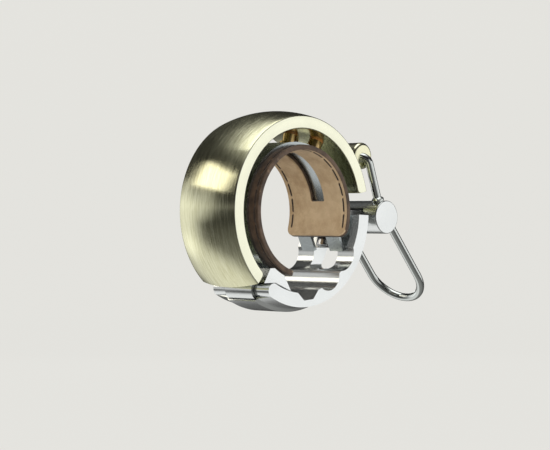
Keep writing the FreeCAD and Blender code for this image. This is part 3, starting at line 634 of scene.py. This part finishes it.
def loop_path():
    """Down the trigger loop's front leg, round its end and up its rear leg."""
    leg_steps, bend_steps = 12, 64
    lean = math.radians(LOOP_LEAN)
    down = Vector((math.sin(lean), 0, -math.cos(lean)))
    foot = AXLE + Vector((math.cos(lean), 0, math.sin(lean))) * LOOP_OFFSET
    leg = LOOP_REACH - LOOP_ROOT
    path = [foot + down * (LOOP_ROOT + leg * step / leg_steps) - ALONG_BAR * LOOP_HALF
            for step in range(leg_steps)]
    for step in range(bend_steps + 1):
        turn = math.pi * step / bend_steps
        path.append(foot + down * (LOOP_REACH + LOOP_HALF * math.sin(turn))
                    - ALONG_BAR * (LOOP_HALF * math.cos(turn)))
    path += [foot + down * (LOOP_REACH - leg * step / leg_steps) + ALONG_BAR * LOOP_HALF
             for step in range(1, leg_steps + 1)]
    return path


def hammer_leg():
    """The foot of the hammer's wire on the axle's line, and the way up the wire."""
    lean = math.radians(LEG_LEAN)
    return Vector((AXLE.x, LEG_Y, AXLE.z)), Vector((-math.sin(lean), 0, math.cos(lean)))


def hammer_wire_path():
    """Up the leg, round the elbow and into the hammer."""
    leg_steps, bend_steps, tip_steps = 8, 32, 4
    foot, up = hammer_leg()
    right = Vector((up.z, 0, -up.x))
    turn = math.radians(90 + ELBOW_TURN)
    aside = right * math.cos(turn) + ALONG_BAR * math.sin(turn)
    path = [foot + up * (LEG_ROOT + (LEG_REACH - LEG_ROOT) * step / leg_steps)
            for step in range(leg_steps)]
    for step in range(bend_steps + 1):
        bend = math.pi / 2 * step / bend_steps
        path.append(foot + up * (LEG_REACH + ELBOW_R * math.sin(bend))
                    + aside * (ELBOW_R * (1 - math.cos(bend))))
    end = path[-1]
    return path + [end + aside * (TIP * step / tip_steps) for step in range(1, tip_steps + 1)]


def make_wires():
    new_piece("trigger_wire", tube("trigger_wire", loop_path()), "striker", wire_steel,
              "wire_steel", "trigger_loop")
    new_piece("striker_wire", tube("striker_wire", hammer_wire_path()), "striker", wire_steel,
              "wire_steel", "hammer_wire")


def make_wire_foot():
    """The small swaged collar where the hammer's wire enters the barrel."""
    foot, up = hammer_leg()
    side = Vector((up.z, 0, -up.x))
    sections = [[foot + up * height + (side * math.cos(turn) + ALONG_BAR * math.sin(turn)) * radius
                 for turn in circle(WIRE_SIDES)] for height, radius in COLLAR]
    mesh = smooth(skin("wire_foot", sections), 30.0)
    new_piece("wire_foot", mesh, "striker", wire_steel, "wire_steel")


def hammer_outline():
    """Half of the hammer's section, as (radius, y) from one end's middle to the other's."""
    half, flat = HAMMER_LENGTH / 2, (0.02, 0.8)
    steps = 12
    outline = []
    for side in (-1, 1):
        end = [(radius, side * half) for radius in flat]
        for step in range(steps + 1):
            turn = math.pi / 2 * step / steps
            end.append((HAMMER_R - HAMMER_ROUND + HAMMER_ROUND * math.sin(turn),
                        side * (half - HAMMER_ROUND + HAMMER_ROUND * math.cos(turn))))
        outline += end if side < 0 else end[::-1]
    return outline


def make_hammer():
    middle = HAMMER_FRONT + HAMMER_LENGTH / 2
    outline = hammer_outline()
    sections = [[Vector((HAMMER_X + radius * math.cos(spin), middle + y,
                         HAMMER_Z + radius * math.sin(spin))) for radius, y in outline]
                for spin in circle(72)]
    mesh = smooth(skin("hammer_head", sections, closed=True))
    new_piece("hammer_head", mesh, "striker", hammer_brass, "hammer_brass", "hammer")


make_ring()
make_liner()
make_stitching()
make_wires()
make_wire_foot()
make_hammer()


# ---------------------------------------------------------------- floor, light and camera

FLOOR_Z, FLOOR_FLAT, FLOOR_BEND, FLOOR_WALL = -110.0, 1500.0, 350.0, 240.0
FLOOR_COLOUR, FLOOR_GLOW, FLOOR_GLOW_STRENGTH = (0.05, 0.05, 0.048), (0.775, 0.768, 0.732), 0.965
LIGHT_DISTANCE = 0.9
WARM_WHITE = (1.0, 0.95, 0.84)
FOCAL_LENGTH, SENSOR_WIDTH, NEAR_LIMIT = 114.64, 36.0, 0.01
CAMERA_SPOT, CAMERA_AIM = Vector((-324.8, -326.4, -1.0)), Vector((-5.3, -5.0, -3.6))

# The studio's brightness by height, from straight down at -1 to straight up at 1.
STUDIO_TONES = ((-1.0, 0.30), (-0.62, 0.16), (-0.30, 0.09), (-0.17, 0.045), (0.0, 0.05),
                (0.06, 0.16), (0.16, 0.03), (0.55, 0.02), (0.74, 0.06), (0.9, 0.5), (1.0, 0.7))
STUDIO_BLUE = 0.97

# Round soft boxes in the studio: direction, angle of the bright middle and of the faded
# edge, and brightness.
SOFT_BOXES = (((-0.10, 0.72, -0.69), 14, 36, 0.66), ((-0.25, 0.96, -0.08), 8, 27, 0.95),
              ((-0.68, 0.72, 0.10), 3, 17, 0.5), ((0.05, -1.0, 0.08), 10, 30, 0.75))


def make_stage():
    """A pale floor that curves up into a low wall all round."""
    bend_steps, sides = 16, 96
    profile = [(0.0, FLOOR_Z), (FLOOR_FLAT * 0.5, FLOOR_Z), (FLOOR_FLAT, FLOOR_Z)]
    for step in range(1, bend_steps + 1):
        turn = math.pi / 2 * step / bend_steps
        profile.append((FLOOR_FLAT + FLOOR_BEND * math.sin(turn),
                        FLOOR_Z + FLOOR_BEND * (1 - math.cos(turn))))
    profile.append((FLOOR_FLAT + FLOOR_BEND, FLOOR_Z + FLOOR_BEND + FLOOR_WALL))
    points = [tuple(Vector((r * math.cos(spin), r * math.sin(spin), z)) * MM)
              for spin in circle(sides) for r, z in profile]
    count = len(profile)
    faces = []
    for turn in range(sides):
        here, there = turn * count, ((turn + 1) % sides) * count
        faces += [(here + k, there + k, there + k + 1, here + k + 1) for k in range(count - 1)]
    mesh = bpy.data.meshes.new("floor")
    mesh.from_pydata(points, [], faces)
    turn_faces_out(mesh, weld=0.00001)
    smooth(mesh, 60.0)
    nodes = Nodes("pale_floor")
    nodes.set(Base_Color=FLOOR_COLOUR, Roughness=0.95, Specular_IOR_Level=0.0,
              Emission_Color=FLOOR_GLOW, Emission_Strength=FLOOR_GLOW_STRENGTH)
    mesh.materials.append(nodes.material)
    floor = bpy.data.objects.new("floor", mesh)
    bpy.context.scene.collection.objects.link(floor)
    floor.visible_glossy = False


def make_world():
    """A studio with dark flags at eye level and above it, for the metal to mirror."""
    world = bpy.data.worlds.new("studio")
    world.use_nodes = True
    bpy.context.scene.world = world
    tree = world.node_tree
    place = tree.nodes.new("ShaderNodeTexCoord")
    split = tree.nodes.new("ShaderNodeSeparateXYZ")
    height = tree.nodes.new("ShaderNodeMapRange")
    height.inputs["From Min"].default_value = -1.0
    tree.links.new(place.outputs["Generated"], split.inputs[0])
    tree.links.new(split.outputs["Z"], height.inputs[0])
    ramp = tree.nodes.new("ShaderNodeValToRGB")
    while len(ramp.color_ramp.elements) < len(STUDIO_TONES):
        ramp.color_ramp.elements.new(0.5)
    for element, (level, value) in zip(ramp.color_ramp.elements, STUDIO_TONES):
        element.position = (level + 1.0) / 2.0
        element.color = (value, value, value * STUDIO_BLUE, 1.0)
    tree.links.new(height.outputs[0], ramp.inputs[0])
    glow = ramp.outputs["Color"]
    for towards, inner, outer, value in SOFT_BOXES:
        facing = tree.nodes.new("ShaderNodeVectorMath")
        facing.operation = "DOT_PRODUCT"
        facing.inputs[1].default_value = Vector(towards).normalized()
        tree.links.new(place.outputs["Generated"], facing.inputs[0])
        patch = tree.nodes.new("ShaderNodeMapRange")
        patch.interpolation_type = "SMOOTHSTEP"
        patch.inputs["From Min"].default_value = math.cos(math.radians(outer))
        patch.inputs["From Max"].default_value = math.cos(math.radians(inner))
        patch.inputs["To Max"].default_value = value
        tree.links.new(facing.outputs["Value"], patch.inputs[0])
        both = tree.nodes.new("ShaderNodeMix")
        both.data_type, both.blend_type = "RGBA", "ADD"
        both.inputs[0].default_value = 1.0
        tree.links.new(glow, both.inputs[6])
        tree.links.new(patch.outputs[0], both.inputs[7])
        glow = both.outputs[2]
    tree.links.new(glow, tree.nodes["Background"].inputs["Color"])


def area_light(name, towards, width, height, brightness, colour=(1.0, 1.0, 1.0), fill=False):
    """A soft box out along a direction; a fill light isn't mirrored in the metal."""
    place = Vector(towards).normalized() * LIGHT_DISTANCE
    light = bpy.data.lights.new(name, "AREA")
    light.shape = "RECTANGLE"
    light.size, light.size_y = width, height
    light.energy = 4.0 * width * height * brightness
    light.color = colour
    holder = bpy.data.objects.new(name, light)
    holder.location = place
    holder.rotation_euler = (-place).to_track_quat("-Z", "Y").to_euler()
    holder.visible_glossy = not fill
    bpy.context.scene.collection.objects.link(holder)


def make_lights():
    area_light("front_right", (0.72, -0.70, 0.02), 0.75, 0.62, 0.72)
    area_light("back_left", (-0.60, 0.60, 0.45), 0.62, 0.30, 1.5, WARM_WHITE)
    area_light("back_right", (0.66, 0.72, 0.07), 0.5, 0.13, 1.0)
    area_light("overhead", (0.0, 0.05, 1.0), 0.8, 0.8, 0.9)
    area_light("fill_left", (-0.65, -0.70, 0.35), 0.6, 0.6, 2.9, fill=True)


def make_camera():
    camera = bpy.data.cameras.new("camera")
    camera.lens = FOCAL_LENGTH
    camera.sensor_width = SENSOR_WIDTH
    camera.sensor_fit = "HORIZONTAL"
    camera.clip_start = NEAR_LIMIT
    holder = bpy.data.objects.new("camera", camera)
    spot, aim = CAMERA_SPOT * MM, CAMERA_AIM * MM
    holder.location = spot
    holder.rotation_euler = (aim - spot).to_track_quat("-Z", "Y").to_euler()
    bpy.context.scene.collection.objects.link(holder)
    bpy.context.scene.camera = holder


make_stage()
make_world()
make_lights()
make_camera()
bpy.context.scene.view_settings.view_transform = "Standard"
